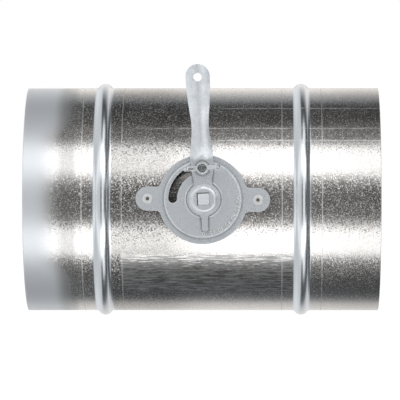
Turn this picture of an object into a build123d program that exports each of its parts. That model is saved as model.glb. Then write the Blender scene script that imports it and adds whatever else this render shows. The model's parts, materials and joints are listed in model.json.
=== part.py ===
from build123d import *
import os
from math import acos, cos, degrees, radians, sin, sqrt, tan

# Round volume control damper for nominal 160 mm duct.
# Frame: +X along the duct from inlet to outlet, +Z up, the locking quadrant on the -Y side,
# origin at the centre of the inlet spigot's end. All lengths are millimetres, angles degrees.

# Duct piece: a plain tube with two rolled beads that stop the mating ducts
duct_radius = 79.65
duct_sheet = 0.6
duct_length = 250.0
duct_overrun = 1.0
bead_spacing = 140.0
bead_rise = 3.2
bead_crest_radius = 5.2
bead_crest_turn = 55.0
bead_root_slope = 35.0
bead_groove_sides = 4

# How far the lever stands open when the model is at rest, from closed (upright)
rest_opening = 2.75

# Square shaft and its two nylon bushes, which turn with it in round holes
shaft_off_middle = 1.5
shaft_side = 8.0
shaft_corner = 0.5
bush_radius = 7.0
bush_flange_radius = 10.0
bush_flange_thickness = 1.6
bush_stick_out = 3.0
bush_end_wall = 1.4
running_clearance = 0.05
seat_clearance = 0.05
turning_clearance = 0.25

# Locking quadrant: a pressed plate with a raised disc and two ears
plate_sheet = 0.9
plate_radius = 31.2
plate_off_shaft = 0.8
plate_skew = 0.7
raised_radius = 27.4
raised_height = 4.4
raised_wall_lean = 0.8
raised_edge_round = 0.7
hub_pad_radius = 13.2
hub_pad_height = 0.5
ear_radius = 8.4
ear_pitch = 76.8
ear_corner = 3.4
slot_radius = 21.6
slot_width = 6.1
slot_from_angle = 89.0
slot_to_angle = 179.2

# Blind rivets that hold the quadrant on the duct
rivet_radius = 2.0
rivet_head_radius = 3.7
rivet_head_height = 1.2
rivet_bore_radius = 1.2
rivet_tail_radius = 2.9
rivet_head_lean = 1.1
rivet_tail_length = 3.2
rivet_tail_bevel = 0.7
mandrel_head_height = 1.4
mandrel_head_bevel = 0.45
mandrel_depth = 0.9

# Lever: pressed strip with a domed hub, a pointer and a cranked, arched arm
lever_sheet = 1.8
lever_gap = 0.15
lever_hub_radius = 11.6
lever_hub_rise = 2.2
lever_hub_lean = 3.0
lever_hub_round = 3.6
lever_square = 8.8
lever_square_shift = 0.3
pointer_reach = 22.4
pointer_width = 4.4
neck_height = 13.4
neck_width = 12.6
shoulder_height = 24.0
shoulder_width = 15.8
waist_height = 48.0
waist_width = 12.2
grip_height = 85.0
grip_radius = 8.35
grip_hole_radius = 3.0
arm_bend_gap = 0.8
arm_bend_run = 11.0
arm_bend_angle = 11.0
arm_arch = 2.3
arm_arch_start = 0.02
arm_trim = 0.4
arm_side_lean = 14.0
outline_corner = 2.6

# Clamp: bolt through lever and slot, washer and wing nut
bolt_radius = 2.5
bolt_neck_radius = 2.75
bolt_neck_flats = 5.3
bolt_head_radius = 3.6
bolt_head_height = 1.6
bolt_head_bevel = 0.4
bolt_head_gap = 0.15
bolt_hole_play = 0.3
washer_radius = 5.1
washer_thickness = 1.0
stack_gap = 0.05
nut_height = 6.5
nut_base_radius = 4.7
nut_top_radius = 3.6
nut_chamfer = 0.45
nut_turned = 4.5
wing_span = 26.4
wing_thickness = 3.2
wing_tip_radius = 2.6
wing_tip_height = 9.6
wing_root_from = 1.8
wing_edge_bevel = 0.9
wing_root_overlap = 1.0
bolt_end_recess = 0.4
bolt_dimple_radius = 1.5
bolt_dimple_depth = 0.8

# Blade, the two saddles that hold it on the shaft, and their screws
blade_clearance = 0.85
blade_sheet = 1.2
blade_bush_gap = 0.3
saddle_offset = 44.0
saddle_sheet = 1.5
saddle_width = 18.0
saddle_foot = 13.0
saddle_corner = 2.0
screw_radius = 2.0
screw_head_radius = 3.9
screw_head_height = 2.6
screw_head_bevel = 1.0
screw_tail = 1.0
screw_hole_play = 0.2
nut_flats = 7.0
hex_nut_height = 3.2

# How close two points of an outline lie where they count as one
join_tolerance = 0.01

# Sizes that follow from those above
duct_middle = duct_length / 2
shaft_x = duct_middle + shaft_off_middle
duct_bore = duct_radius - duct_sheet
bead_places = (duct_middle - bead_spacing / 2, duct_middle + bead_spacing / 2)
rivet_places = (-plate_off_shaft - ear_pitch / 2, -plate_off_shaft + ear_pitch / 2)
bush_hole_radius = bush_radius + running_clearance
bush_bore = shaft_side + 2 * seat_clearance
hub_pad_top = raised_height + hub_pad_height
lever_back = hub_pad_top + lever_gap
lever_face = lever_back + lever_sheet
lever_hub_top = lever_face + lever_hub_rise
shaft_front_end = lever_hub_top - seat_clearance - lever_square_shift
washer_back = lever_face + stack_gap
nut_back = washer_back + washer_thickness + stack_gap
flange_face = sqrt(duct_bore**2 - bush_flange_radius**2) - duct_radius - turning_clearance
flange_back = flange_face - bush_flange_thickness
bush_front_end = hub_pad_top + lever_gap
raised_underside = raised_height - plate_sheet
blade_radius = sqrt((duct_bore - blade_clearance)**2 - (shaft_side / 2 + blade_sheet)**2)
arm_bend_height = slot_radius + washer_radius + arm_bend_gap
saddle_screw_reach = shaft_side / 2 + saddle_sheet + saddle_foot / 2
arm_slope = tan(radians(arm_bend_angle))
grip_lift = lever_back + arm_slope * (grip_height - arm_bend_height - arm_bend_run / 2)

# The handle side seen from outside: x along the duct, y up, z away from the duct's front line
front = Location(Plane((shaft_x, -duct_radius, 0), x_dir=(1, 0, 0), z_dir=(0, -1, 0)))
# The far side seen from outside, where the shaft ends in a closed bush
rear = Location(Plane((shaft_x, duct_radius, 0), x_dir=(-1, 0, 0), z_dir=(0, 1, 0)))
# Turns a piece from the closed place to the place at rest, about the shaft
at_rest = Pos(shaft_x, 0, 0) * Rot(0, -rest_opening, 0) * Pos(-shaft_x, 0, 0)
quadrant_place = front * Rot(0, 0, -plate_skew)
clamp_place = at_rest * front * Pos(0, slot_radius, 0)


def rod(radius, low, high):
    """Round bar about the local z axis, from one height to another."""
    return Pos(0, 0, low) * extrude(Circle(radius), high - low)


def cone(low_radius, high_radius, low, high):
    """Tapered round solid about the local z axis."""
    height = high - low
    return Pos(0, 0, low + height / 2) * Cone(low_radius, high_radius, height)


def square_bar(side, corner, low, high):
    """Square bar with rounded edges along the local z axis."""
    return Pos(0, 0, low) * extrude(RectangleRounded(side, side, corner), high - low)


def top_edges(shape):
    """The edges round a shape's highest flat face."""
    return shape.faces().sort_by(Axis.Z)[-1].edges()


def on_bead(place, base, crest_radius, turn):
    """Point on a bead's round crest, turned from its top, over a wall face at the base radius."""
    centre = base + bead_rise - crest_radius
    return place + crest_radius * sin(radians(turn)), centre + crest_radius * cos(radians(turn))


def outer_bead(place):
    """Outer face of one rolled bead: a round crest with a sloping foot on each side."""
    up, top, down = (on_bead(place, duct_radius, bead_crest_radius, turn)
                     for turn in (-bead_crest_turn, 0, bead_crest_turn))
    foot = (up[1] - duct_radius) / tan(radians(bead_root_slope))
    left, right = (up[0] - foot, duct_radius), (down[0] + foot, duct_radius)
    return left, right, [Line(left, up), ThreePointArc(up, top, down), Line(down, right)]


def inner_bead(place):
    """Inner face of one rolled bead: the groove under the crest, in a few flat steps."""
    crest_radius = bead_crest_radius - duct_sheet
    half_turn = degrees(acos(1 - bead_rise / crest_radius))
    turns = [half_turn * (2 * step / bead_groove_sides - 1) for step in range(bead_groove_sides + 1)]
    points = [on_bead(place, duct_bore, crest_radius, turn) for turn in turns]
    return points[0], points[-1], [Line(start, end) for start, end in zip(points, points[1:])]


def beaded_round(edge, bead, overrun):
    """Solid of revolution inside the duct wall's outer or inner face."""
    start, end = -overrun, duct_length + overrun
    lines = [Line((start, 0), (start, edge)), Line((end, 0), (end, edge))]
    reached = (start, edge)
    for place in bead_places:
        left, right, arcs = bead(place)
        lines += [Line(reached, left)] + arcs
        reached = right
    lines += [Line(reached, (end, edge)), Line((start, 0), (end, 0))]
    return revolve(make_face(lines), axis=Axis.X)


def duct_tube():
    """The duct wall with its beads, the two shaft holes and the rivet holes."""
    wall = beaded_round(duct_radius, outer_bead, 0) - beaded_round(duct_bore, inner_bead, duct_overrun)
    for side in (front, rear):
        wall -= side * rod(bush_hole_radius, -duct_radius / 2, duct_radius / 2)
    for across in rivet_places:
        hole = rod(rivet_radius + seat_clearance, -duct_radius / 2, duct_radius / 2)
        wall -= quadrant_place * Pos(across, 0, 0) * hole
    return wall


def quadrant_outline():
    """Flat outline of the quadrant: a disc with two round-ended ears."""
    ears = SlotCenterToCenter(ear_pitch, 2 * ear_radius)
    outline = Circle(plate_radius) + ears
    corners = [v for v in outline.vertices() if abs(Vector(*v).length - plate_radius) < join_tolerance]
    return fillet(corners, ear_corner)


def quadrant_plate():
    """Pressed plate: flat rim and ears, raised disc, hub pad, arc slot and holes."""
    raised_top = raised_radius - raised_wall_lean
    disc = fillet(top_edges(cone(raised_radius, raised_top, 0, raised_height)), raised_edge_round)
    hollow = cone(raised_radius - plate_sheet, raised_top - plate_sheet, 0, raised_underside)
    plate = Pos(-plate_off_shaft, 0, 0) * (extrude(quadrant_outline(), plate_sheet) + disc - hollow)
    plate += cone(hub_pad_radius, hub_pad_radius - hub_pad_height, raised_height, hub_pad_top)
    plate -= rod(hub_pad_radius - plate_sheet, 0, hub_pad_top - plate_sheet)
    sweep_angle = slot_to_angle - slot_from_angle
    slot = SlotArc(CenterArc((0, 0), slot_radius, slot_from_angle, sweep_angle), slot_width)
    plate -= extrude(slot, hub_pad_top)
    plate -= rod(bush_hole_radius, 0, hub_pad_top)
    for across in rivet_places:
        plate -= Pos(across, 0, 0) * rod(rivet_radius + seat_clearance, 0, plate_sheet)
    return quadrant_place * plate


def quadrant_rivet(across):
    """Set blind rivet: domed head, shank through plate and duct, swelled tail."""
    tail_top = -duct_sheet - 2 * seat_clearance
    head_top = plate_sheet + rivet_head_height
    head = cone(rivet_head_radius, rivet_head_radius - rivet_head_lean, plate_sheet, head_top)
    rivet = head + rod(rivet_radius, tail_top, plate_sheet)
    tail = rod(rivet_tail_radius, tail_top - rivet_tail_length, tail_top)
    rivet += chamfer(tail.edges(), rivet_tail_bevel)
    rivet -= rod(rivet_bore_radius, tail_top - rivet_tail_length, head_top)
    return quadrant_place * Pos(across, 0, 0) * rivet


def rivet_mandrel(across):
    """Broken-off mandrel that stays in a set blind rivet: stem and pulling head."""
    low = -duct_sheet - 2 * seat_clearance - rivet_tail_length
    high = plate_sheet + rivet_head_height - mandrel_depth
    stem = rod(rivet_bore_radius - seat_clearance, low, high)
    head = chamfer(rod(rivet_radius, low - mandrel_head_height, low).edges(), mandrel_head_bevel)
    return quadrant_place * Pos(across, 0, 0) * (stem + head)


def square_shaft():
    """Square bar through both bushes, flush with the lever's hub in front."""
    rear_end = -2 * duct_radius - bush_stick_out + bush_end_wall + seat_clearance
    return at_rest * front * square_bar(shaft_side, shaft_corner, rear_end, shaft_front_end)


def shaft_bush(side, end, pocket_end):
    """Flanged nylon bush with a square bore, its flange inside the duct."""
    bush = rod(bush_flange_radius, flange_back, flange_face) + rod(bush_radius, flange_face, end)
    bush -= square_bar(bush_bore, shaft_corner, flange_back, pocket_end)
    return at_rest * side * bush


def damper_blade():
    """Round sheet against one side of the shaft, notched at the bushes."""
    face = Circle(blade_radius)
    notch_from = duct_radius + flange_back - blade_bush_gap
    notch_width = 2 * (bush_flange_radius + blade_bush_gap)
    notch = Rectangle(duct_radius, notch_width, align=(Align.MIN, Align.CENTER))
    for turn in (0, 180):
        face -= Rot(0, 0, turn) * Pos(notch_from, 0) * notch
    for along in (-saddle_offset, saddle_offset):
        for up in (-saddle_screw_reach, saddle_screw_reach):
            face -= Pos(along, up) * Circle(screw_radius + screw_hole_play)
    back = shaft_x - shaft_side / 2 - blade_sheet
    place = Location(Plane((back, 0, 0), x_dir=(0, 1, 0), z_dir=(1, 0, 0)))
    return at_rest * place * extrude(face, blade_sheet)


def blade_saddle(along):
    """Hat-shaped strap over the shaft with a screwed foot each side."""
    half = shaft_side / 2
    hat = Pos(saddle_sheet / 2, 0) * Rectangle(shaft_side + saddle_sheet, shaft_side + 2 * saddle_sheet)
    hat = fillet(hat.vertices().sort_by(Axis.X)[-2:], saddle_corner)
    foot_span = shaft_side + 2 * (saddle_sheet + saddle_foot)
    foot = Pos(-half, 0) * Rectangle(saddle_sheet, foot_span, align=(Align.MIN, Align.CENTER))
    strap = extrude(hat + foot - Rectangle(shaft_side, shaft_side), saddle_width / 2, both=True)
    for up in (-saddle_screw_reach, saddle_screw_reach):
        hole = Rot(0, 90, 0) * Cylinder(screw_radius + screw_hole_play, 2 * shaft_side)
        strap -= Pos(0, up, 0) * hole
    return at_rest * front * Pos(0, 0, along - duct_radius) * strap


def saddle_screw_place(along, up):
    """Where a saddle screw's head seats on the saddle's foot, z away from the blade."""
    seat = shaft_x - shaft_side / 2 + saddle_sheet
    return at_rest * Location(Plane((seat, -along, up), x_dir=(0, 1, 0), z_dir=(1, 0, 0)))


def saddle_screw(along, up):
    """Pan head screw through saddle foot and blade."""
    head = rod(screw_head_radius, 0, screw_head_height)
    head = chamfer(top_edges(head), screw_head_bevel)
    tail = -saddle_sheet - blade_sheet - hex_nut_height - screw_tail
    return saddle_screw_place(along, up) * (head + rod(screw_radius, tail, 0))


def saddle_nut(along, up):
    """Hexagon nut on the blade's plain face."""
    top = -saddle_sheet - blade_sheet
    across_corners = nut_flats / cos(radians(30))
    body = extrude(RegularPolygon(across_corners / 2, 6), hex_nut_height)
    nut = Pos(0, 0, top - hex_nut_height) * body
    nut -= rod(screw_radius + seat_clearance, top - hex_nut_height, top)
    return saddle_screw_place(along, up) * nut


def lever_outline():
    """Flat outline of the lever: hub, pointer below, waisted arm with a round end."""
    neck = neck_width / 2
    side = [(neck, neck_height), (shoulder_width / 2, shoulder_height), (waist_width / 2, waist_height),
            (grip_radius, grip_height)]
    lean = tan(radians(arm_side_lean))
    right = Spline(*side, tangents=[(lean, 1), (0, 1)])
    left = Spline(*[(-x, y) for x, y in side], tangents=[(-lean, 1), (0, 1)])
    end = CenterArc((0, grip_height), grip_radius, 0, 180)
    stem = [Line((x, 0), (x, neck_height)) for x in (-neck, neck)]
    arm = make_face([right, end, left, Line((-neck, 0), (neck, 0))] + stem)
    pointer_centre = pointer_reach - pointer_width / 2
    pointer = Pos(0, -pointer_centre / 2) * Rectangle(pointer_width, pointer_centre)
    pointer += Pos(0, -pointer_centre) * Circle(pointer_width / 2)
    outline = Circle(lever_hub_radius) + arm + pointer
    corners = [v for v in outline.vertices() if abs(Vector(*v).length - lever_hub_radius) < join_tolerance]
    return fillet(corners, outline_corner)


def arm_section(height, half_width, arch):
    """Cross-section of the pressed arm at one height: an arched strip."""
    beyond = max(0, height - arm_bend_height)
    bent = min(beyond, arm_bend_run)
    lift = arm_slope * (bent**2 / (2 * arm_bend_run) + beyond - bent)
    low, high = lever_back + lift, lever_face + lift
    place = Location(Plane((0, height, 0), x_dir=(1, 0, 0), z_dir=(0, -1, 0)))
    upper = ThreePointArc((-half_width, high), (0, high + arch), (half_width, high))
    lower = ThreePointArc((-half_width, low), (0, low + arch), (half_width, low))
    sides = [Line((side, low), (side, high)) for side in (-half_width, half_width)]
    return place * make_face([upper, lower] + sides)


def lever_handle():
    """Flat hub part and arched arm cut to the outline, with the domed hub and holes."""
    outline = lever_outline()
    flat = Pos(0, 0, lever_back) * extrude(outline, lever_sheet)
    flat -= Pos(0, arm_bend_height + duct_radius, 0) * Box(duct_radius, 2 * duct_radius, duct_radius)
    bend_end = arm_bend_height + arm_bend_run
    arm_end = grip_height + grip_radius + arm_trim
    shape = [(arm_bend_height, shoulder_width / 2, arm_arch_start),
             (bend_end, (shoulder_width + waist_width) / 4, arm_arch),
             (waist_height, waist_width / 2, arm_arch),
             ((waist_height + grip_height) / 2, (waist_width / 2 + grip_radius) / 2, arm_arch),
             (grip_height, grip_radius, arm_arch),
             (arm_end, grip_radius, arm_arch)]
    arm = loft([arm_section(height, half + arm_trim, arch) for height, half, arch in shape])
    arm &= extrude(outline, 2 * duct_radius)
    lever = flat + arm
    hub_top_radius = lever_hub_radius - lever_hub_lean
    dome = cone(lever_hub_radius, hub_top_radius, lever_back, lever_hub_top)
    lever += fillet(top_edges(dome), lever_hub_round)
    hollow_radius = lever_hub_radius - lever_sheet
    lever -= cone(hollow_radius, hollow_radius - lever_hub_lean, lever_back, lever_hub_top - lever_sheet)
    square = Rectangle(lever_square, lever_square)
    lever -= Pos(-lever_square_shift, lever_square_shift, 0) * extrude(square, 2 * lever_hub_top)
    lever -= Pos(0, slot_radius, 0) * rod(bolt_radius + bolt_hole_play, lever_back, lever_face)
    hole = Rot(arm_bend_angle, 0, 0) * rod(grip_hole_radius, -lever_sheet, 2 * lever_sheet + arm_arch)
    lever -= Pos(0, grip_height, grip_lift) * hole
    return at_rest * front * lever


def clamp_bolt():
    """Bolt behind the quadrant: thin round head, flatted neck in the slot, round shank."""
    head_top = raised_underside - bolt_head_gap
    end = nut_back + nut_height - bolt_end_recess
    neck = rod(bolt_neck_radius, head_top, hub_pad_top)
    neck &= Pos(0, 0, duct_radius / 2) * Box(duct_radius, bolt_neck_flats, duct_radius)
    shank = rod(bolt_radius, hub_pad_top, end)
    shank = chamfer(top_edges(shank), nut_chamfer)
    head = rod(bolt_head_radius, head_top - bolt_head_height, head_top)
    head = chamfer(head.edges(), bolt_head_bevel)
    dimple = cone(0, bolt_dimple_radius, end - bolt_dimple_depth, end)
    return clamp_place * (head + neck + shank - dimple)


def clamp_washer():
    """Flat washer between the wing nut and the lever."""
    washer = rod(washer_radius, washer_back, washer_back + washer_thickness)
    washer -= rod(bolt_radius + bolt_hole_play, washer_back, washer_back + washer_thickness)
    return clamp_place * washer


def wing():
    """One wing of the nut, rising outwards along +x from the boss to a round tip."""
    tip = (wing_span / 2 - wing_tip_radius, wing_tip_height)
    root_at = nut_top_radius - wing_root_overlap
    root = Line((root_at, wing_root_from), (root_at, nut_height - nut_chamfer))
    profile = make_hull([CenterArc(tip, wing_tip_radius, 0, 360), root])
    blade = Rot(90, 0, 0) * extrude(profile, wing_thickness / 2, both=True)
    ends = blade.faces().filter_by(Axis.Y).edges()
    return chamfer([e for e in ends if e.center().X > nut_base_radius], wing_edge_bevel)


def wing_nut():
    """Cast wing nut: tapered boss with a bore, two wings."""
    boss = cone(nut_base_radius, nut_top_radius, 0, nut_height)
    nut = boss + wing() + Rot(0, 0, 180) * wing()
    nut -= rod(bolt_radius + running_clearance, 0, nut_height)
    nut -= cone(bolt_radius, bolt_radius + 2 * nut_chamfer, nut_height - 2 * nut_chamfer, nut_height)
    return clamp_place * Pos(0, 0, nut_back) * Rot(0, 0, nut_turned - rest_opening) * nut


def pieces():
    """Every piece of the damper by its node name."""
    made = {
        "duct_tube": duct_tube(),
        "quadrant_plate": quadrant_plate(),
        "lever_handle": lever_handle(),
        "clamp_bolt": clamp_bolt(),
        "clamp_washer": clamp_washer(),
        "wing_nut": wing_nut(),
        "square_shaft": square_shaft(),
        "shaft_bush_front": shaft_bush(front, bush_front_end, bush_front_end),
        "shaft_bush_rear": shaft_bush(rear, bush_stick_out, bush_stick_out - bush_end_wall),
        "damper_blade": damper_blade(),
        "blade_saddle_front": blade_saddle(saddle_offset),
        "blade_saddle_rear": blade_saddle(-saddle_offset),
    }
    for side, across in zip(("left", "right"), rivet_places):
        made[f"quadrant_rivet_{side}"] = quadrant_rivet(across)
        made[f"rivet_mandrel_{side}"] = rivet_mandrel(across)
    corners = [(along, up) for along in (saddle_offset, -saddle_offset)
               for up in (saddle_screw_reach, -saddle_screw_reach)]
    for number, (along, up) in enumerate(corners, 1):
        made[f"saddle_screw_{number}"] = saddle_screw(along, up)
        made[f"saddle_nut_{number}"] = saddle_nut(along, up)
    return made


os.makedirs("parts", exist_ok=True)
for node, solid in pieces().items():
    export_step(solid, f"parts/{node}.step")
    print(f"{node:20s} {solid.volume:10.1f} mm3")
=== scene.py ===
# %% [markdown]
# # A round volume control damper in galvanised steel
# The damper is a short duct with a disc blade inside. A pressed lever turns the blade and a wing nut
# locks it. The construction comes ready made as a fixed frame, so this script only gives it its finish,
# its fine detail, a floor, light and a camera. Loading the frame is always the first step, because every
# later piece takes its place from it.

# %% Load the frame
import json
import math

import bpy
import bmesh
from mathutils import Matrix, Vector
from mathutils.bvhtree import BVHTree


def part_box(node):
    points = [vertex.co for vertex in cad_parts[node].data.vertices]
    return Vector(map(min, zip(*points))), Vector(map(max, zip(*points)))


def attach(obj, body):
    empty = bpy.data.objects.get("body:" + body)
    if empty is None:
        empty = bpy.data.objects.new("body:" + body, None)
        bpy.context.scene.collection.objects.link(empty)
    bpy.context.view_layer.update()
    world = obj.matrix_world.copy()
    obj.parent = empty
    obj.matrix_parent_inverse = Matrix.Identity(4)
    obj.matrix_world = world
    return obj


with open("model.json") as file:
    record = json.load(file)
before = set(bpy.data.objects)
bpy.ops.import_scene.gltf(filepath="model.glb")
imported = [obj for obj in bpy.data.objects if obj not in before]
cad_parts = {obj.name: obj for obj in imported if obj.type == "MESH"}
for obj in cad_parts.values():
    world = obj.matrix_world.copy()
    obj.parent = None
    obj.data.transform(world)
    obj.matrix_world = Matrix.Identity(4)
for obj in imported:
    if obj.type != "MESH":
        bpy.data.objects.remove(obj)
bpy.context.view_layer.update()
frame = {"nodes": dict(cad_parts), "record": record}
nodes = frame["nodes"]
mm = 0.001

# %% [markdown]
# The small pieces need a few places of the real object: the shaft's axis, the middle of the duct, the front
# of the quadrant and the bolt's axis. They are read from the boxes and the joints of the frame, so they
# follow it if it changes. The shaft's ends are printed to show how far it reaches through the duct.

# %% Places read from the frame
duct_low, duct_high = (Vector(corner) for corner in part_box("duct_tube"))
duct_middle = (duct_low.x + duct_high.x) / 2
shaft_low, shaft_high = (Vector(corner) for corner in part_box("square_shaft"))
plate_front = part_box("quadrant_plate")[0][1]
bolt_axis = tuple((low + high) / 2 for low, high in zip(*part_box("clamp_bolt")))
joints = {joint["name"]: joint for joint in frame["record"]["behaviour"]["joints"]}
shaft_x = joints["damper_turn"]["pos_m"][0]
print("shaft at x =", round(shaft_x, 4), "from y =", round(shaft_low.y, 4), "to y =", round(shaft_high.y, 4))
print("plate front at y =", round(plate_front, 5))

# %% [markdown]
# Every finish below is a small network of shader nodes. These helpers add a node with its values and do one
# step of arithmetic on numbers or vectors, so that each network stays short.

# %% Node helpers
def add_node(tree, kind, **values):
    """Adds a node. Lower case names set its options, and capitalised ones its inputs."""
    node = tree.nodes.new("ShaderNode" + kind)
    for name, value in values.items():
        if name[0].islower():
            setattr(node, name, value)
        else:
            plug(tree, value, node.inputs[name.replace("_", " ")])
    return node


def plug(tree, value, socket):
    """Gives a socket a plain value or a link."""
    if isinstance(value, bpy.types.NodeSocket):
        tree.links.new(value, socket)
    elif value is not None:
        socket.default_value = value


def calc(tree, operation, *values, clamp=False):
    """One step of arithmetic on numbers."""
    node = add_node(tree, "Math", operation=operation, use_clamp=clamp)
    for value, socket in zip(values, node.inputs):
        plug(tree, value, socket)
    return node.outputs[0]


def vector_calc(tree, operation, *values):
    """One step of arithmetic on vectors."""
    node = add_node(tree, "VectorMath", operation=operation)
    for value, socket in zip(values, node.inputs):
        plug(tree, value, socket)
    return node.outputs["Value" if operation in ("DOT_PRODUCT", "LENGTH") else "Vector"]


def scaled(tree, vector, amount):
    """A vector times a number."""
    node = add_node(tree, "VectorMath", operation="SCALE")
    plug(tree, vector, node.inputs[0])
    plug(tree, amount, node.inputs["Scale"])
    return node.outputs[0]


print("node helpers ready")

# %% [markdown]
# A finish changes from place to place: it is hazy here and worn there. Each such place is a mask, a number
# from 0 to 1 that changes smoothly over the surface. The helpers below make the masks, and mix numbers and
# colours by them.

# %% Mask and colour helpers
def smooth_step(tree, value, start, end, low=0.0, high=1.0):
    """A smooth change from low to high while the value goes from start to end."""
    node = add_node(tree, "MapRange", interpolation_type="SMOOTHSTEP", Value=value, From_Min=start,
                    From_Max=end, To_Min=low, To_Max=high)
    return node.outputs["Result"]


def between(tree, value, rise, fall):
    """1 inside a stretch, which starts over the rise and ends over the fall."""
    start = smooth_step(tree, value, *rise)
    end = smooth_step(tree, value, *fall, 1.0, 0.0)
    return calc(tree, "MULTIPLY", start, end)


def distance_from(tree, value, place):
    """How far a value lies from a place, on either side."""
    return calc(tree, "ABSOLUTE", calc(tree, "SUBTRACT", value, place))


def thin_line(tree, value, place, width):
    """1 on a line at a place, fading over the two half widths that are given."""
    return smooth_step(tree, distance_from(tree, value, place), *width, 1.0, 0.0)


def mix_numbers(tree, share, first, second):
    """Goes from the first number to the second by a share."""
    node = add_node(tree, "Mix", data_type="FLOAT")
    for socket, value in zip((node.inputs[0], node.inputs[2], node.inputs[3]), (share, first, second)):
        plug(tree, value, socket)
    return node.outputs[0]


def mix_colours(tree, share, first, second, blend="MIX"):
    """Goes from the first colour to the second by a share."""
    node = add_node(tree, "Mix", data_type="RGBA", blend_type=blend)
    for socket, value in zip((node.inputs[0], node.inputs[6], node.inputs[7]), (share, first, second)):
        plug(tree, value, socket)
    return node.outputs[2]


def grey(level, warmth=0.0):
    """A grey with a slight tint. Positive warmth is brown and negative is blue."""
    return (level * (1 + warmth), level, level * (1 - warmth), 1.0)


print("mask and colour helpers ready")

# %% [markdown]
# Metal shows what stands around it, so the studio is part of the finish. Long objects of polished sheet are
# lit by strips that run along them with dark gaps between, and the strips become the bands that a viewer
# reads as a cylinder. The strips depend on the direction alone. Each stop below is an angle round the
# duct's axis, from the camera's side over the top, with the brightness and the warmth seen there. Behind
# the damper they rise to the white of the background, which the metal shows at its upper and lower edges,
# and a narrow dark gap above draws the thin line along the very top.

# %% Studio strips
strip_stops = [
    (-180, 0.96, 0.02), (-137, 0.60, 0.02), (-126, 0.20, -0.04), (-114, 0.09, -0.05),
    (-84, 0.07, 0.00), (-70, 0.09, 0.03), (-63, 0.26, 0.01), (-57, 1.60, 0.00), (-30, 1.70, 0.00),
    (-26, 0.46, 0.03), (-20, 0.11, 0.07), (-9, 0.05, 0.08), (9, 0.05, 0.08), (16, 0.10, 0.07),
    (22, 0.46, 0.03), (28, 1.66, 0.00), (55, 1.66, 0.00), (59, 0.38, 0.02), (63, 0.10, 0.05),
    (73, 0.08, 0.05), (76, 0.26, 0.03), (79, 0.06, 0.05), (98, 0.02, 0.03), (101, 0.12, 0.00),
    (104, 0.02, 0.00), (115, 0.06, -0.02), (125, 0.28, -0.05), (136, 0.50, 0.00), (150, 0.80, 0.04),
    (167, 1.00, 0.04), (173, 0.22, 0.04), (180, 0.18, 0.04),
]
full_turn = 360


def strip_colours(tree, toward):
    """The colour of the strips in a direction, by its angle round the duct's axis."""
    angle = calc(tree, "ARCTAN2", toward["Z"], calc(tree, "MULTIPLY", toward["Y"], -1.0))
    turn = calc(tree, "ADD", calc(tree, "DIVIDE", angle, math.tau), 0.5)
    ramp = add_node(tree, "ValToRGB", Fac=turn)
    elements = ramp.color_ramp.elements
    elements.remove(elements[1])
    for index, (degrees, bright, warmth) in enumerate(strip_stops):
        place = degrees / full_turn + 0.5
        element = elements[0] if index == 0 else elements.new(place)
        element.position = place
        element.color = grey(bright, warmth)
    return ramp.outputs["Color"]


print("studio strips:", len(strip_stops))

# %% [markdown]
# The strips alone would light the damper only across its axis. What stands to the left, to the right and
# before it shows in the flanks of the beads and in the flat plate: a soft pale wall on the left in which
# the strips show faintly, a window a little to the right of the camera, and a dark gap on the far right
# that turns white behind. Matt surfaces don't reflect, so they see one plain soft level instead, and the
# camera sees white.

# %% World
soft_level = 0.80
left_edge = (-0.24, -0.09)
left_level = 0.81
left_bands = 0.24
right_edge = (0.80, 0.93)
right_dark = 0.10
right_behind = 0.95
behind_edge = (0.05, 0.45)
window_reach = ((0.04, 0.32), (0.52, 0.76))
window_front = (-0.2, 0.1)
window_level = 1.00


def studio_light(tree, toward):
    """What gloss sees in a direction: the strips, the window and the two sides."""
    strips = strip_colours(tree, toward)
    window = between(tree, toward["X"], *window_reach)
    window = calc(tree, "MULTIPLY", window, smooth_step(tree, toward["Y"], *window_front, 1.0, 0.0))
    middle = mix_colours(tree, window, strips, grey(window_level, -0.02), "LIGHTEN")
    behind = smooth_step(tree, toward["Y"], *behind_edge)
    right = mix_colours(tree, behind, grey(right_dark, 0.02), grey(right_behind))
    left = mix_colours(tree, left_bands, grey(left_level, -0.02), middle)
    light = mix_colours(tree, smooth_step(tree, toward["X"], *right_edge), middle, right)
    return mix_colours(tree, smooth_step(tree, toward["X"], *left_edge, 1.0, 0.0), light, left)


def build_world():
    """White for the camera, a plain soft level for matt surfaces, and the studio for gloss and glass."""
    world = bpy.data.worlds.new("studio")
    bpy.context.scene.world = world
    world.use_nodes = True
    tree = world.node_tree
    tree.nodes.clear()
    direction = add_node(tree, "TexCoord").outputs["Generated"]
    toward = add_node(tree, "SeparateXYZ", Vector=direction).outputs
    path = add_node(tree, "LightPath").outputs
    shown = calc(tree, "MAXIMUM", path["Is Glossy Ray"], path["Is Transmission Ray"])
    light = mix_colours(tree, shown, grey(soft_level), studio_light(tree, toward))
    colour = mix_colours(tree, path["Is Camera Ray"], light, grey(1.0))
    background = add_node(tree, "Background", Color=colour, Strength=1.0)
    add_node(tree, "OutputWorld", Surface=background.outputs[0])
    return world


print("world:", build_world().name)

# %% [markdown]
# The floor is a wide pale plane below the damper. It is a plain surface that receives a shadow. The camera
# sees it a little brighter than it is lit, so that it meets the white background without a line.

# %% Floor
floor_drop = 0.075
floor_reach = 9.0
floor_glow = 0.35


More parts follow.
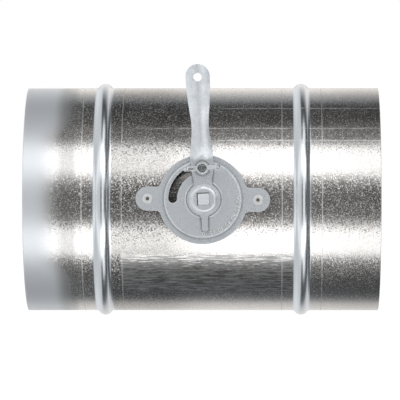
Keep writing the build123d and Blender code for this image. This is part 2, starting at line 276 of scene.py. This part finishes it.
def build_floor():
    """A pale plane under the object."""
    mesh = bpy.data.meshes.new("floor")
    height = duct_low.z - floor_drop
    corners = [(x * floor_reach, y * floor_reach, height) for x, y in ((-1, -1), (1, -1), (1, 1), (-1, 1))]
    mesh.from_pydata(corners, [], [(0, 1, 2, 3)])
    floor = bpy.data.objects.new("floor", mesh)
    bpy.context.collection.objects.link(floor)
    material = bpy.data.materials.new("pale_floor")
    material.use_nodes = True
    tree = material.node_tree
    shader = tree.nodes["Principled BSDF"]
    shader.inputs["Base Color"].default_value = grey(0.86)
    shader.inputs["Roughness"].default_value = 0.9
    shader.inputs["Specular IOR Level"].default_value = 0.0
    shader.inputs["Emission Color"].default_value = grey(1.0)
    seen = add_node(tree, "LightPath").outputs["Is Camera Ray"]
    plug(tree, calc(tree, "MULTIPLY", seen, floor_glow), shader.inputs["Emission Strength"])
    mesh.materials.append(material)
    floor.visible_glossy = False
    return floor


floor = build_floor()
print("floor at z =", round(duct_low.z - floor_drop, 4))

# %% [markdown]
# The camera stands far off at the height of the duct's axis, a little to the right of its middle, and looks
# almost straight at the lever side. A long lens keeps the duct's edges nearly parallel.

# %% Camera
camera_distance = 2.49
camera_right = 0.036
aim_left = 0.0024
aim_down = 0.0005
lens = 312.0


def build_camera():
    """The main camera, aimed by a rotation and with no lens shift."""
    data = bpy.data.cameras.new("main_camera")
    data.lens = lens
    data.sensor_width = 36.0
    data.clip_end = 50.0
    camera = bpy.data.objects.new("main_camera", data)
    bpy.context.collection.objects.link(camera)
    camera.location = (duct_middle + camera_right, -camera_distance, 0)
    aim = Vector((duct_middle - aim_left, 0, -aim_down))
    camera.rotation_euler = (aim - camera.location).to_track_quat("-Z", "Y").to_euler()
    bpy.context.scene.camera = camera
    return camera


camera = build_camera()
bpy.context.scene.view_settings.view_transform = "Standard"
print("camera at", [round(value, 3) for value in camera.location])

# %% [markdown]
# Galvanised sheet has a skin of zinc crystals. Each one lies at its own small angle, so every edge of a
# reflection breaks up into bright and dark grains. A bump map would blur grains this small, so this group
# tilts the surface normal by a random amount in each cell of a Voronoi pattern. It also puts out the
# cell's own random value, which the sheet uses to vary its colour.

# %% Shader group: crystal grain
flat_crystal = 0.35
steep_crystal = 2.4
few_steep = 3.0
drift_share = 0.5
drift_scale = 0.6


def start_group(name, inputs, outputs):
    """Makes an empty shader group with the named inputs and outputs."""
    group = bpy.data.node_groups.new(name, "ShaderNodeTree")
    for label, kind, default in inputs:
        socket = group.interface.new_socket(label, in_out="INPUT", socket_type="NodeSocket" + kind)
        if default is not None:
            socket.default_value = default
    for label, kind in outputs:
        group.interface.new_socket(label, in_out="OUTPUT", socket_type="NodeSocket" + kind)
    return group, group.nodes.new("NodeGroupInput").outputs, group.nodes.new("NodeGroupOutput").inputs


def centred(tree, colour):
    """Turns a random colour into a random direction, from -1 to 1 on each axis."""
    return scaled(tree, vector_calc(tree, "SUBTRACT", colour, (0.5, 0.5, 0.5)), 2.0)


def make_crystal_grain():
    """Random tilt of the surface in each crystal, with a few crystals much steeper than the rest."""
    group, given, result = start_group(
        "crystal_grain",
        (("Vector", "Vector", None), ("Normal", "Vector", None),
         ("Size", "Float", 0.001), ("Tilt", "Float", 0.1)),
        (("Normal", "Vector"), ("Fleck", "Float")))
    fine = add_node(group, "TexVoronoi", feature="F1", Vector=given["Vector"],
                    Scale=calc(group, "DIVIDE", 1.0, given["Size"]), Randomness=1.0)
    coarse = add_node(group, "TexNoise", Vector=given["Vector"], Detail=2.0, Roughness=0.6,
                      Scale=calc(group, "DIVIDE", drift_scale, given["Size"]))
    fleck = add_node(group, "SeparateColor", Color=fine.outputs["Color"]).outputs
    steep = mix_numbers(group, calc(group, "POWER", fleck[2], few_steep), flat_crystal, steep_crystal)
    amount = calc(group, "MULTIPLY", steep, given["Tilt"])
    tilt = scaled(group, centred(group, fine.outputs["Color"]), amount)
    slow = calc(group, "MULTIPLY", given["Tilt"], drift_share)
    drift = scaled(group, centred(group, coarse.outputs["Color"]), slow)
    bent = vector_calc(group, "ADD", vector_calc(group, "ADD", given["Normal"], tilt), drift)
    plug(group, vector_calc(group, "NORMALIZE", bent), result["Normal"])
    plug(group, fleck[1], result["Fleck"])
    return group


crystal_grain = make_crystal_grain()
print("group:", crystal_grain.name)

# %% [markdown]
# Rolling and polishing leave fine lines along a sheet or a pressing. Noise that is stretched along one
# axis gives them. The group has a length and a width for the lines, tilts the normal across them, and puts
# out the line pattern as well, which the materials use to vary their roughness.

# %% Shader group: drawn lines
def make_drawn_lines():
    """Fine parallel lines, drawn along one axis of the object."""
    group, given, result = start_group(
        "drawn_lines",
        (("Vector", "Vector", None), ("Normal", "Vector", None), ("Along", "Vector", (1.0, 0.0, 0.0)),
         ("Length", "Float", 0.02), ("Width", "Float", 0.001), ("Tilt", "Float", 0.05)),
        (("Normal", "Vector"), ("Lines", "Float")))
    shares = add_node(group, "SeparateXYZ", Vector=given["Along"])
    sizes = []
    for axis in range(3):
        size = mix_numbers(group, shares.outputs[axis], given["Width"], given["Length"])
        sizes.append(calc(group, "DIVIDE", 1.0, size))
    stretch = add_node(group, "CombineXYZ", X=sizes[0], Y=sizes[1], Z=sizes[2])
    place = vector_calc(group, "MULTIPLY", given["Vector"], stretch.outputs[0])
    lines = add_node(group, "TexNoise", Vector=place, Scale=1.0, Detail=2.0, Roughness=0.65)
    value = smooth_step(group, lines.outputs["Fac"], 0.25, 0.75, -1.0, 1.0)
    across = vector_calc(group, "CROSS_PRODUCT", given["Along"], given["Normal"])
    tilt = scaled(group, across, calc(group, "MULTIPLY", value, given["Tilt"]))
    bent = vector_calc(group, "ADD", given["Normal"], tilt)
    plug(group, vector_calc(group, "NORMALIZE", bent), result["Normal"])
    plug(group, smooth_step(group, value, -1.0, 1.0), result["Lines"])
    return group


drawn_lines = make_drawn_lines()
print("group:", drawn_lines.name)

# %% [markdown]
# The press and the tumbling drum round every edge of these parts, and handling keeps the edges bright. The
# Bevel node finds what is near an edge, and the angle between its rounded normal and the flat one gives a
# mask. The group puts out both, so an edge catches a line of light and also has a cleaner colour.

# %% Shader group: rounded edges
def make_rounded_edges():
    """Rounded normals near edges, and a mask of where they are."""
    group, given, result = start_group(
        "rounded_edges", (("Radius", "Float", 0.0003), ("Spread", "Float", 8.0)),
        (("Normal", "Vector"), ("Mask", "Float")))
    flat = add_node(group, "NewGeometry").outputs["Normal"]
    round_normal = add_node(group, "Bevel", samples=6, Radius=given["Radius"]).outputs[0]
    likeness = vector_calc(group, "DOT_PRODUCT", flat, round_normal)
    mask = calc(group, "MULTIPLY", calc(group, "SUBTRACT", 1.0, likeness), given["Spread"], clamp=True)
    plug(group, round_normal, result["Normal"])
    plug(group, mask, result["Mask"])
    return group


rounded_edges = make_rounded_edges()
print("group:", rounded_edges.name)

# %% [markdown]
# Zinc dulls unevenly as it ages and is handled. This group gives slow clouds of dullness, which the
# materials add to their roughness and take from their brightness. Large and small clouds together look
# less like a pattern than one size alone.

# %% Shader group: dull clouds
def make_dull_clouds():
    """Slow changes of dullness over the surface."""
    group, given, result = start_group(
        "dull_clouds", (("Vector", "Vector", None), ("Size", "Float", 0.03)), (("Dullness", "Float"),))
    large = add_node(group, "TexNoise", Vector=given["Vector"], Detail=3.0, Roughness=0.55,
                     Scale=calc(group, "DIVIDE", 1.0, given["Size"]))
    small = add_node(group, "TexNoise", Vector=given["Vector"], Detail=2.0, Roughness=0.6,
                     Scale=calc(group, "DIVIDE", 5.0, given["Size"]))
    both = mix_numbers(group, 0.35, large.outputs["Fac"], small.outputs["Fac"])
    plug(group, smooth_step(group, both, 0.32, 0.68), result["Dullness"])
    return group


dull_clouds = make_dull_clouds()
print("group:", dull_clouds.name)

# %% [markdown]
# Little light gets into corners, creases and the gaps between parts. Ambient occlusion finds such places.
# The group gives a mask that is 1 on open faces and falls to 0 in a crevice, and the materials multiply
# their colour with it, so the darkening there is painted shade.

# %% Shader group: painted crevice shade
def make_open_faces():
    """A mask for painted shade: 0 in a crevice and 1 on an open face."""
    group, given, result = start_group(
        "painted_crevice_shade", (("Reach", "Float", 0.003), ("Depth", "Float", 0.5)), (("Open", "Float"),))
    found = add_node(group, "AmbientOcclusion", samples=16, Distance=given["Reach"]).outputs["AO"]
    deep = calc(group, "SUBTRACT", 1.0, given["Depth"])
    plug(group, mix_numbers(group, smooth_step(group, found, 0.30, 0.92), deep, 1.0), result["Open"])
    return group


painted_crevice_shade = make_open_faces()
print("group:", painted_crevice_shade.name)

# %% [markdown]
# All the finishes start the same way: a Principled shader, metallic unless the finish says otherwise, and
# the object's own coordinates for the patterns, so that they stay on the part when it moves. Each finish
# then adds its own groups between the two, and every one of them gives its own roughness.

# %% Starting a metal
def start_metal(name):
    """A metallic material with its object coordinates."""
    material = bpy.data.materials.new(name)
    material.use_nodes = True
    tree = material.node_tree
    shader = tree.nodes["Principled BSDF"]
    shader.inputs["Metallic"].default_value = 1.0
    coordinates = add_node(tree, "TexCoord").outputs["Object"]
    return material, tree, shader, coordinates


def place_group(tree, group, **values):
    """Places a shader group in a material with its own values."""
    node = tree.nodes.new("ShaderNodeGroup")
    node.node_tree = group
    for name, value in values.items():
        plug(tree, value, node.inputs[name])
    return node.outputs


finishes = {}
print("ready for the finishes")

# %% [markdown]
# The duct's sheet is the largest surface, so its finish matters most. It has a fine bright grain all over.
# Between the two beads the rollers have drawn the grain out into short lines along the duct on the lower
# half, and beside each bead they leave a faint ring. Three thin light lines along the upper front are a
# painted reflection. The left spigot is rougher, and its lighter, milkier colour is a painted veil of
# light, which reaches further at its top and bottom. Beside the left bead the grain is coarser, and its
# darker colour there is painted shade. The first cell gives the place of each of these, measured
# from the duct's left end and from its axis.

# %% Duct finish: places
bead_pitch = 140 * mm
bead_half = 6.4 * mm
bead_fade = 0.6 * mm
ring_reach = 14 * mm
ring_width = (0.15 * mm, 0.55 * mm)
drawn_edges = (("X", 67.6 * mm, 68.6 * mm), ("X", 189.0 * mm, 187.5 * mm),
               ("Z", -36.0 * mm, -41.5 * mm), ("Z", -66.5 * mm, -62.5 * mm))
haze_fade = (6 * mm, 30 * mm)
haze_lean = 12 * mm
high_and_low = (38 * mm, 58 * mm)
faint_haze = 0.14
faint_haze_fade = (34 * mm, 41 * mm)
coarse_stretch = ((58 * mm, 62 * mm), (92 * mm, 132 * mm))
# Painted reflection: three thin light lines along the upper front, by height and start.
painted_reflection_lines = ((49.7 * mm, 66 * mm), (64.0 * mm, 125 * mm), (41.1 * mm, 118 * mm))
reflection_line_width = (0.2 * mm, 0.6 * mm)
reflection_line_run_in = 25 * mm
reflection_line_front = (-20 * mm, -30 * mm)
reflection_line_faintest = 0.35


def duct_places(tree, along):
    """Masks of the beads, the rings, the drawn area, the haze and the coarse grain."""
    from_middle = distance_from(tree, along["X"], duct_middle)
    from_bead = distance_from(tree, from_middle, bead_pitch / 2)
    places = {"bead": smooth_step(tree, from_bead, bead_half, bead_half + bead_fade, 1.0, 0.0)}
    places["ring"] = thin_line(tree, from_bead, ring_reach, ring_width)
    places["drawn"] = 1.0
    for axis, first, last in drawn_edges:
        inside = smooth_step(tree, along[axis], first, last)
        places["drawn"] = calc(tree, "MULTIPLY", inside, places["drawn"])
    lean = smooth_step(tree, calc(tree, "ABSOLUTE", along["Z"]), *high_and_low, 0.0, haze_lean)
    haze = smooth_step(tree, calc(tree, "SUBTRACT", along["X"], lean), *haze_fade, 1.0, 0.0)
    faint = smooth_step(tree, along["X"], *faint_haze_fade, faint_haze, 0.0)
    places["haze"] = calc(tree, "MAXIMUM", haze, faint)
    places["smooth"] = calc(tree, "MAXIMUM", places["bead"], places["haze"])
    places["coarse"] = between(tree, along["X"], *coarse_stretch)
    return places


def die_mark_places(tree, along, lines):
    """A mask of the painted reflection lines, which the drawn lines break up."""
    painted_lines = 0.0
    for height, start in painted_reflection_lines:
        reflection_line = thin_line(tree, along["Z"], height, reflection_line_width)
        run = smooth_step(tree, along["X"], start, start + reflection_line_run_in)
        painted_lines = calc(tree, "MAXIMUM", painted_lines, calc(tree, "MULTIPLY", reflection_line, run))
    painted_lines = calc(tree, "MULTIPLY", painted_lines, smooth_step(tree, along["Y"], *reflection_line_front))
    broken = smooth_step(tree, lines, 0.25, 0.75, reflection_line_faintest, 1.0)
    return calc(tree, "MULTIPLY", painted_lines, broken)


print("beads at", [round(duct_middle + side * bead_pitch / 2, 4) for side in (-1, 1)])

# %% [markdown]
# Some places of the tube are darker. Under the quadrant the colour is darkened as a painted shadow of the
# plate, the tube grows darker towards its right end, and the left spigot was handled at one place. All of
# them only multiply the colour, so one function gives how much of it is left.

# %% Duct finish: painted shadow and darker places
# The painted shadow of the quadrant on the tube, and where it lies.
painted_shadow_left = 0.35
painted_shadow_radius = (25 * mm, 28 * mm)
painted_shadow_front = (-60 * mm, -55 * mm)
end_left = 0.82
end_stretch = (190 * mm, 245 * mm)
handled_left = 0.72
handled_stretch = ((20 * mm, 29 * mm), (34 * mm, 39 * mm))
side_plane = (1, 0, 1)


def across_shaft(tree, place, axis):
    """The distance from an axis that runs from front to back."""
    offset = vector_calc(tree, "SUBTRACT", place, axis)
    return vector_calc(tree, "LENGTH", vector_calc(tree, "MULTIPLY", offset, side_plane))


def films_left(tree, place, along):
    """How much of the colour the painted shadow, the darker right end and the handling mark leave."""
    # Painted shadow: the tube is darkened under the quadrant plate.
    painted_shadow = smooth_step(tree, across_shaft(tree, place, (shaft_x, 0, 0)), *painted_shadow_radius, painted_shadow_left, 1.0)
    painted_shadow = mix_numbers(tree, smooth_step(tree, along["Y"], *painted_shadow_front), painted_shadow, 1.0)
    left = calc(tree, "MULTIPLY", painted_shadow, smooth_step(tree, along["X"], *end_stretch, 1.0, end_left))
    handled = between(tree, along["X"], *handled_stretch)
    return calc(tree, "MULTIPLY", left, mix_numbers(tree, handled, 1.0, handled_left))


print("oil under the quadrant within", round(painted_shadow_radius[0] / mm, 1), "mm of the shaft")

# %% [markdown]
# The grain tilts less on the smooth places and near the very top and bottom, where the sheet is seen at a
# glancing angle, and more where it is coarse. The colour goes from fleck to fleck between a darker and a
# lighter grey. The roughness decides how far each strip of the studio spreads: little on the clean sheet,
# more on the haze and on a few bright flecks.

# %% Finish: galvanised duct
grain_size = 0.62 * mm
grain_tilt = 0.042
coarse_tilt = 2.1 * grain_tilt
drawn_tilt = 0.006
smooth_tilt = 0.004
glancing = (58 * mm, 68 * mm)
glancing_share = 0.3
line_length = 11 * mm
line_width = 0.6 * mm
line_tilt = 0.13
ring_and_painted_line_share = 0.35
fleck_roughness = 0.15
painted_veil_metallic = 0.72


def duct_grain_tilt(tree, along, places):
    """How far the crystals tilt at each place."""
    tilt = mix_numbers(tree, places["coarse"], grain_tilt, coarse_tilt)
    height = calc(tree, "ABSOLUTE", along["Z"])
    tilt = calc(tree, "MULTIPLY", tilt, smooth_step(tree, height, *glancing, 1.0, glancing_share))
    tilt = mix_numbers(tree, places["drawn"], tilt, drawn_tilt)
    return mix_numbers(tree, places["smooth"], tilt, smooth_tilt)


def duct_colour(tree, places, fleck, lines):
    """The sheet's greys, before the painted shadow and the darker places are multiplied in."""
    clean = mix_colours(tree, fleck, grey(0.69, 0.050), grey(0.92, 0.000))
    # The darker greys where the grain is coarse are painted shade.
    coarse_and_shaded = mix_colours(tree, fleck, grey(0.38, 0.060), grey(0.70, 0.005))
    colour = mix_colours(tree, places["coarse"], clean, coarse_and_shaded)
    # The lighter grey without flecks is smoother sheet on the beads, and a painted veil of light on the
    # haze.
    colour = mix_colours(tree, places["smooth"], colour, grey(0.86, -0.040))
    streaky = mix_colours(tree, lines, grey(0.58, 0.03), grey(0.95, -0.01))
    colour = mix_colours(tree, places["drawn"], colour, streaky)
    # Rings are lighter sheet beside the beads; the thin lines on the upper front are a painted reflection.
    rings_and_painted_lines = calc(tree, "MAXIMUM", places["ring"], places["painted_lines"])
    return mix_colours(tree, calc(tree, "MULTIPLY", rings_and_painted_lines, ring_and_painted_line_share), colour, grey(0.95))


def duct_roughness(tree, places, fleck, lines, dullness):
    """The sheet's roughness, from clean sheet to haze."""
    rough = mix_numbers(tree, dullness, 0.17, 0.22)
    grainy = calc(tree, "SUBTRACT", 1.0, places["smooth"])
    flecks = calc(tree, "MULTIPLY", smooth_step(tree, fleck, 0.72, 0.96), grainy)
    rough = calc(tree, "ADD", rough, calc(tree, "MULTIPLY", flecks, fleck_roughness))
    drawn = mix_numbers(tree, smooth_step(tree, lines, 0.25, 0.75), 0.12, 0.31)
    rough = mix_numbers(tree, places["drawn"], rough, drawn)
    for name, level in (("bead", 0.24), ("haze", 0.41), ("ring", 0.38), ("painted_lines", 0.42)):
        rough = mix_numbers(tree, places[name], rough, level)
    return rough


def make_galvanised_duct():
    """Bright galvanised sheet with grain, drawn lines, roller rings and films."""
    material, tree, shader, place = start_metal("galvanised_duct")
    along = add_node(tree, "SeparateXYZ", Vector=place).outputs
    places = duct_places(tree, along)
    edges = place_group(tree, rounded_edges, Radius=1.0 * mm, Spread=4.0)
    lines = place_group(tree, drawn_lines, Vector=place, Normal=edges["Normal"], Length=line_length,
                        Width=line_width, Tilt=calc(tree, "MULTIPLY", places["drawn"], line_tilt))
    places["painted_lines"] = die_mark_places(tree, along, lines["Lines"])
    grain = place_group(tree, crystal_grain, Vector=place, Normal=lines["Normal"], Size=grain_size,
                        Tilt=duct_grain_tilt(tree, along, places))
    clouds = place_group(tree, dull_clouds, Vector=place, Size=0.05)
    # Painted shade: the colour is darkened in crevices and in the gap under the quadrant.
    crevice_shade = place_group(tree, painted_crevice_shade, Reach=6 * mm, Depth=0.8)
    left = calc(tree, "MULTIPLY", crevice_shade["Open"], films_left(tree, place, along))
    colour = scaled(tree, duct_colour(tree, places, grain["Fleck"], lines["Lines"]), left)
    rough = duct_roughness(tree, places, grain["Fleck"], lines["Lines"], clouds["Dullness"])
    plug(tree, colour, shader.inputs["Base Color"])
    # The lower metallic share on the haze lets its milky colour show as a painted veil of light.
    plug(tree, mix_numbers(tree, places["haze"], 1.0, painted_veil_metallic), shader.inputs["Metallic"])
    plug(tree, rough, shader.inputs["Roughness"])
    plug(tree, grain["Normal"], shader.inputs["Normal"])
    return material


finishes["galvanised_duct"] = make_galvanised_duct()
print("finish:", "galvanised_duct")

# %% [markdown]
# The blade is the same kind of sheet, seen only through the open ends. It is a little duller, because it
# isn't rolled again after it is cut. Its pattern has a larger crystal.

# %% Finish: galvanised blade
def make_galvanised_blade():
    """Duller galvanised sheet with larger crystals."""
    material, tree, shader, place = start_metal("galvanised_blade")
    normal = add_node(tree, "NewGeometry").outputs["Normal"]
    grain = place_group(tree, crystal_grain, Vector=place, Normal=normal, Size=2.6 * mm, Tilt=0.035)
    clouds = place_group(tree, dull_clouds, Vector=place, Size=0.04)
    colour = mix_colours(tree, grain["Fleck"], grey(0.50, 0.01), grey(0.70, -0.01))
    colour = mix_colours(tree, calc(tree, "MULTIPLY", clouds["Dullness"], 0.25), colour, grey(0.42))
    plug(tree, colour, shader.inputs["Base Color"])
    plug(tree, grain["Normal"], shader.inputs["Normal"])
    plug(tree, mix_numbers(tree, clouds["Dullness"], 0.28, 0.46), shader.inputs["Roughness"])
    return material


finishes["galvanised_blade"] = make_galvanised_blade()
print("finish:", "galvanised_blade")

# %% [markdown]
# The quadrant, the lever and the saddles are pressings with a satin zinc plate. It is soft and slightly
# blue, with a fine even tooth, and it is brighter where an edge has been rubbed. The bolts, the nuts, the
# wing nut and the shaft have the same plating with more polish. The rivets and the rubbed tops of the
# figures differ only in their values, so one function makes them all, and a table gives the values.

# %% Finish: zinc plate
plate_line_length = 12 * mm
plate_line_width = 0.35 * mm
plate_grain = 0.7 * mm
plate_clouds = 12 * mm
# The bolt's cut end is unplated, and its very dark colour is painted shade inside the nut.
bare_shaded_radius = (1.8 * mm, 2.1 * mm)
bare_shaded_steel = grey(0.16, -0.02)


def make_zinc_plate(name, colours, roughness, tooth, lines=(0, 0, 0), line_tilt=0.0, edge=0.35 * mm,
                    sawn=0.0, crevice=0.55, matt=0.0, bare_shaded_end=None):
    """Zinc plate, from satin to bright. Tooth is the tilt of its grain, sawn dulls cut ends, matt is milky,
    and a bolt's axis, when given, gives that bolt's cut end of unplated metal a colour painted dark with
    shade."""
    material, tree, shader, place = start_metal(name)
    shader.inputs["Metallic"].default_value = 1.0 - matt
    edges = place_group(tree, rounded_edges, Radius=edge, Spread=7.0)
    drawn = place_group(tree, drawn_lines, Vector=place, Normal=edges["Normal"], Along=lines,
                        Length=plate_line_length, Width=plate_line_width, Tilt=line_tilt)
    grain = place_group(tree, crystal_grain, Vector=place, Normal=drawn["Normal"], Size=plate_grain,
                        Tilt=tooth)
    clouds = place_group(tree, dull_clouds, Vector=place, Size=plate_clouds)
    # Painted shade: the colour is darkened in corners and in the gaps between parts.
    crevice_shade = place_group(tree, painted_crevice_shade, Reach=2.6 * mm, Depth=crevice)
    colour = mix_colours(tree, clouds["Dullness"], *colours)
    colour = mix_colours(tree, calc(tree, "MULTIPLY", grain["Fleck"], 0.09), colour, grey(0.45))
    colour = mix_colours(tree, calc(tree, "MULTIPLY", edges["Mask"], 0.7), colour, grey(0.95, -0.01))
    colour = scaled(tree, colour, crevice_shade["Open"])
    # Painted shade: the bolt's cut end is darkened as if shaded inside the nut.
    if bare_shaded_end:
        shaded_end_mask = smooth_step(tree, across_shaft(tree, place, bare_shaded_end), *bare_shaded_radius, 1.0, 0.0)
        colour = mix_colours(tree, shaded_end_mask, colour, bare_shaded_steel)
    plug(tree, colour, shader.inputs["Base Color"])
    plug(tree, grain["Normal"], shader.inputs["Normal"])
    rough = mix_numbers(tree, clouds["Dullness"], *roughness)
    rough = calc(tree, "ADD", rough, calc(tree, "MULTIPLY", drawn["Lines"], 0.04))
    if sawn:
        facing = add_node(tree, "SeparateXYZ", Vector=add_node(tree, "NewGeometry").outputs["True Normal"])
        cut = smooth_step(tree, calc(tree, "ABSOLUTE", facing.outputs["Y"]), 0.90, 0.95)
        rough = mix_numbers(tree, cut, rough, sawn)
    plug(tree, rough, shader.inputs["Roughness"])
    return material


# Each crevice value sets how dark the painted shade in corners gets.
plate_values = {
    "zinc_pressing": dict(colours=(grey(0.99, -0.044), grey(0.76, -0.054)), roughness=(0.22, 0.34),
                          tooth=0.016, edge=0.45 * mm, crevice=0.85, matt=0.52),
    "zinc_hardware": dict(colours=(grey(0.84, -0.020), grey(0.76, -0.025)), roughness=(0.20, 0.30),
                          tooth=0.012, crevice=0.85, bare_shaded_end=bolt_axis),
    "zinc_casting": dict(colours=(grey(0.88, -0.015), grey(0.82, -0.020)), roughness=(0.22, 0.32),
                         tooth=0.022, crevice=0.75, matt=0.1),
    "bright_bar": dict(colours=(grey(0.88, -0.030), grey(0.82, -0.035)), roughness=(0.26, 0.34),
                       tooth=0.010, lines=(1.0, 0.0, 0.0), line_tilt=0.10, sawn=0.62, crevice=0.8),
    "rivet_aluminium": dict(colours=(grey(0.98, -0.005), grey(0.95, -0.005)), roughness=(0.24, 0.32),
                            tooth=0.008, crevice=0.85, matt=0.60),
    "mandrel_steel": dict(colours=(grey(0.40, 0.010), grey(0.30, 0.020)), roughness=(0.34, 0.48),
                          tooth=0.030),
    "rubbed_figures": dict(colours=(grey(0.99, -0.010), grey(0.97, -0.010)), roughness=(0.26, 0.34),
                           tooth=0.010, crevice=0.35, matt=0.85),
}
for name, values in plate_values.items():
    finishes[name] = make_zinc_plate(name, **values)
print("finishes:", sorted(finishes))

# %% [markdown]
# The shaft turns in two nylon bushes. Natural nylon is a milky off-white that lets a little light in, with
# a slight gloss. Low subsurface scattering gives that milkiness, and the moulding has faint flow clouds.

# %% Finish: nylon
def make_nylon():
    """Natural nylon, milky and slightly glossy."""
    material, tree, shader, place = start_metal("nylon")
    shader.inputs["Metallic"].default_value = 0.0
    shader.inputs["Subsurface Weight"].default_value = 0.15
    shader.inputs["Subsurface Scale"].default_value = 1.5 * mm
    edges = place_group(tree, rounded_edges, Radius=0.3 * mm, Spread=6.0)
    clouds = place_group(tree, dull_clouds, Vector=place, Size=0.006)
    colour = mix_colours(tree, clouds["Dullness"], (0.80, 0.79, 0.74, 1), (0.72, 0.71, 0.65, 1))
    colour = mix_colours(tree, calc(tree, "MULTIPLY", edges["Mask"], 0.4), colour, (0.86, 0.85, 0.81, 1))
    plug(tree, colour, shader.inputs["Base Color"])
    plug(tree, edges["Normal"], shader.inputs["Normal"])
    plug(tree, mix_numbers(tree, clouds["Dullness"], 0.36, 0.50), shader.inputs["Roughness"])
    return material


finishes["nylon"] = make_nylon()
print("finish:", "nylon")

# %% [markdown]
# Each node of the frame names the slot that its finish comes from, so the finishes go on by name. The
# node's own material is only swapped, and its shape stays as it is.

# %% Put the finishes on
node_slots = {part["node"]: part["material_slot"] for part in frame["record"]["subparts"]}
for name, slot_name in node_slots.items():
    for material_slot in nodes[name].material_slots:
        material_slot.material = finishes[slot_name]
print("nodes finished:", len(node_slots))

# %% [markdown]
# The quadrant carries a pressed scale that the lever's pointer sweeps. On a real dial the figures stand a
# few tenths of a millimetre proud. Here each figure is a text curve with a small bevel, turned into a mesh
# and laid round the shaft with its top outwards. A tick stands between each two figures.

# %% Quadrant scale
scale_radius = 23.9 * mm
figure_height = 3.3 * mm
figure_proud = 0.32 * mm
tick_size = (0.36 * mm, 1.7 * mm)
figure_step = 15
last_figure = 90
sunk = 0.06 * mm
figure_thickening = 0.10 * mm
figure_bevel = 0.05 * mm
tick_bevel = 0.07 * mm
capital_share = 0.7
probe_start = 10 * mm


def surface_finder(node):
    """A search tree for a node's surface at rest."""
    mesh = nodes[node].data
    places = [vertex.co for vertex in mesh.vertices]
    return BVHTree.FromPolygons(places, [face.vertices for face in mesh.polygons])


def figure_mesh(text):
    """A raised figure, centred, in the plane of x and y and standing up along z."""
    curve = bpy.data.curves.new("figure", "FONT")
    curve.body = text
    curve.size = figure_height / capital_share
    curve.align_x = "CENTER"
    curve.align_y = "CENTER"
    curve.offset = figure_thickening
    curve.extrude = (figure_proud + sunk) / 2 - figure_bevel
    curve.bevel_depth = figure_bevel
    curve.resolution_u = 3
    holder = bpy.data.objects.new("figure", curve)
    bpy.context.collection.objects.link(holder)
    ready = holder.evaluated_get(bpy.context.evaluated_depsgraph_get())
    mesh = bpy.data.meshes.new_from_object(ready)
    bpy.data.objects.remove(holder)
    return mesh


def dial_place(angle, radius, height):
    """Matrix of a place on the dial. The angle is the lever's opening, from the closed pointer."""
    turn = Matrix.Rotation(math.radians(angle) - math.pi, 4, "Z")
    front = Matrix(((1, 0, 0, shaft_x), (0, 0, -1, 0), (0, 1, 0, 0), (0, 0, 0, 1)))
    return front @ Matrix.Translation((0, 0, height)) @ turn @ Matrix.Translation((0, radius, 0))


def build_scale():
    """Figures from 0 to 90 with ticks between, proud of the raised disc."""
    finder = surface_finder("quadrant_plate")
    probe = Vector((shaft_x, plate_front - probe_start, -scale_radius))
    face = finder.ray_cast(probe, Vector((0, 1, 0)))[0]
    height = -face.y + (figure_proud - sunk) / 2
    shape = bmesh.new()
    for angle in range(0, last_figure + 1, figure_step):
        mesh = figure_mesh(str(angle))
        mesh.transform(dial_place(angle, scale_radius, height))
        shape.from_mesh(mesh)
        bpy.data.meshes.remove(mesh)
    for before in range(0, last_figure, figure_step):
        angle = before + figure_step / 2
        size = Matrix.Diagonal((tick_size[0], tick_size[1], figure_proud + sunk, 1))
        place = dial_place(angle, scale_radius, height) @ size
        made = bmesh.ops.create_cube(shape, size=1.0, matrix=place)
        edges = {edge for vertex in made["verts"] for edge in vertex.link_edges}
        bmesh.ops.bevel(shape, geom=list(edges), offset=tick_bevel, segments=2, affect="EDGES")
    mesh = bpy.data.meshes.new("quadrant_scale")
    shape.to_mesh(mesh)
    shape.free()
    piece = bpy.data.objects.new("quadrant_scale", mesh)
    bpy.context.collection.objects.link(piece)
    mesh.materials.append(finishes["rubbed_figures"])
    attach(piece, "casing")
    return piece


quadrant_scale = build_scale()
print("scale faces:", len(quadrant_scale.data.polygons))

# %% [markdown]
# The tube is rolled from flat sheet and welded along one line, which the maker turns to the back. The weld
# is a low ripple, so a strip is laid along the surface of the tube, over the beads as well, by casting a ray
# at each step. The same strip inside has its rays going outwards.

# %% Weld seam
seam_angle = math.radians(30)
seam_half_width = 1.3 * mm
seam_step = 0.4 * mm
seam_rise = 0.15
seam_profile = ((-1.0, -0.05), (-0.6, 0.09), (0.0, seam_rise), (0.6, 0.09), (1.0, -0.05))
ripple_pitch = 1.1 * mm
ripple_rise = 0.04
outside_start = 1.2
inside_start = 0.8


def build_seam(name, outside):
    """A rippled weld along the tube, outside or inside the wall."""
    finder = surface_finder("duct_tube")
    radial = Vector((0, math.cos(seam_angle), -math.sin(seam_angle)))
    across = Vector((0, math.sin(seam_angle), math.cos(seam_angle)))
    proud = 1 if outside else -1
    start = duct_high.z * (outside_start if outside else inside_start)
    shape = bmesh.new()
    rows = []
    steps = int((duct_high.x - duct_low.x) / seam_step)
    for step in range(1, steps):
        along = duct_low.x + step * seam_step
        ripple = 1 + ripple_rise / seam_rise * math.cos(math.tau * along / ripple_pitch)
        row = []
        for side, rise in seam_profile:
            offset = across * side * seam_half_width
            origin = Vector((along, 0, 0)) + radial * start + offset
            hit = finder.ray_cast(origin, radial * -proud)[0]
            row.append(shape.verts.new(hit + radial * proud * rise * ripple * mm))
        rows.append(row)
    for first, second in zip(rows, rows[1:]):
        for left, right, far_right, far_left in zip(first, first[1:], second[1:], second):
            face = shape.faces.new((left, right, far_right, far_left))
            face.smooth = True
    bmesh.ops.recalc_face_normals(shape, faces=shape.faces)
    mesh = bpy.data.meshes.new(name)
    shape.to_mesh(mesh)
    shape.free()
    piece = bpy.data.objects.new(name, mesh)
    bpy.context.collection.objects.link(piece)
    mesh.materials.append(finishes["galvanised_blade"])
    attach(piece, "casing")
    return piece


seams = [build_seam("duct_weld_outside", True), build_seam("duct_weld_inside", False)]
print("seams:", [piece.name for piece in seams])
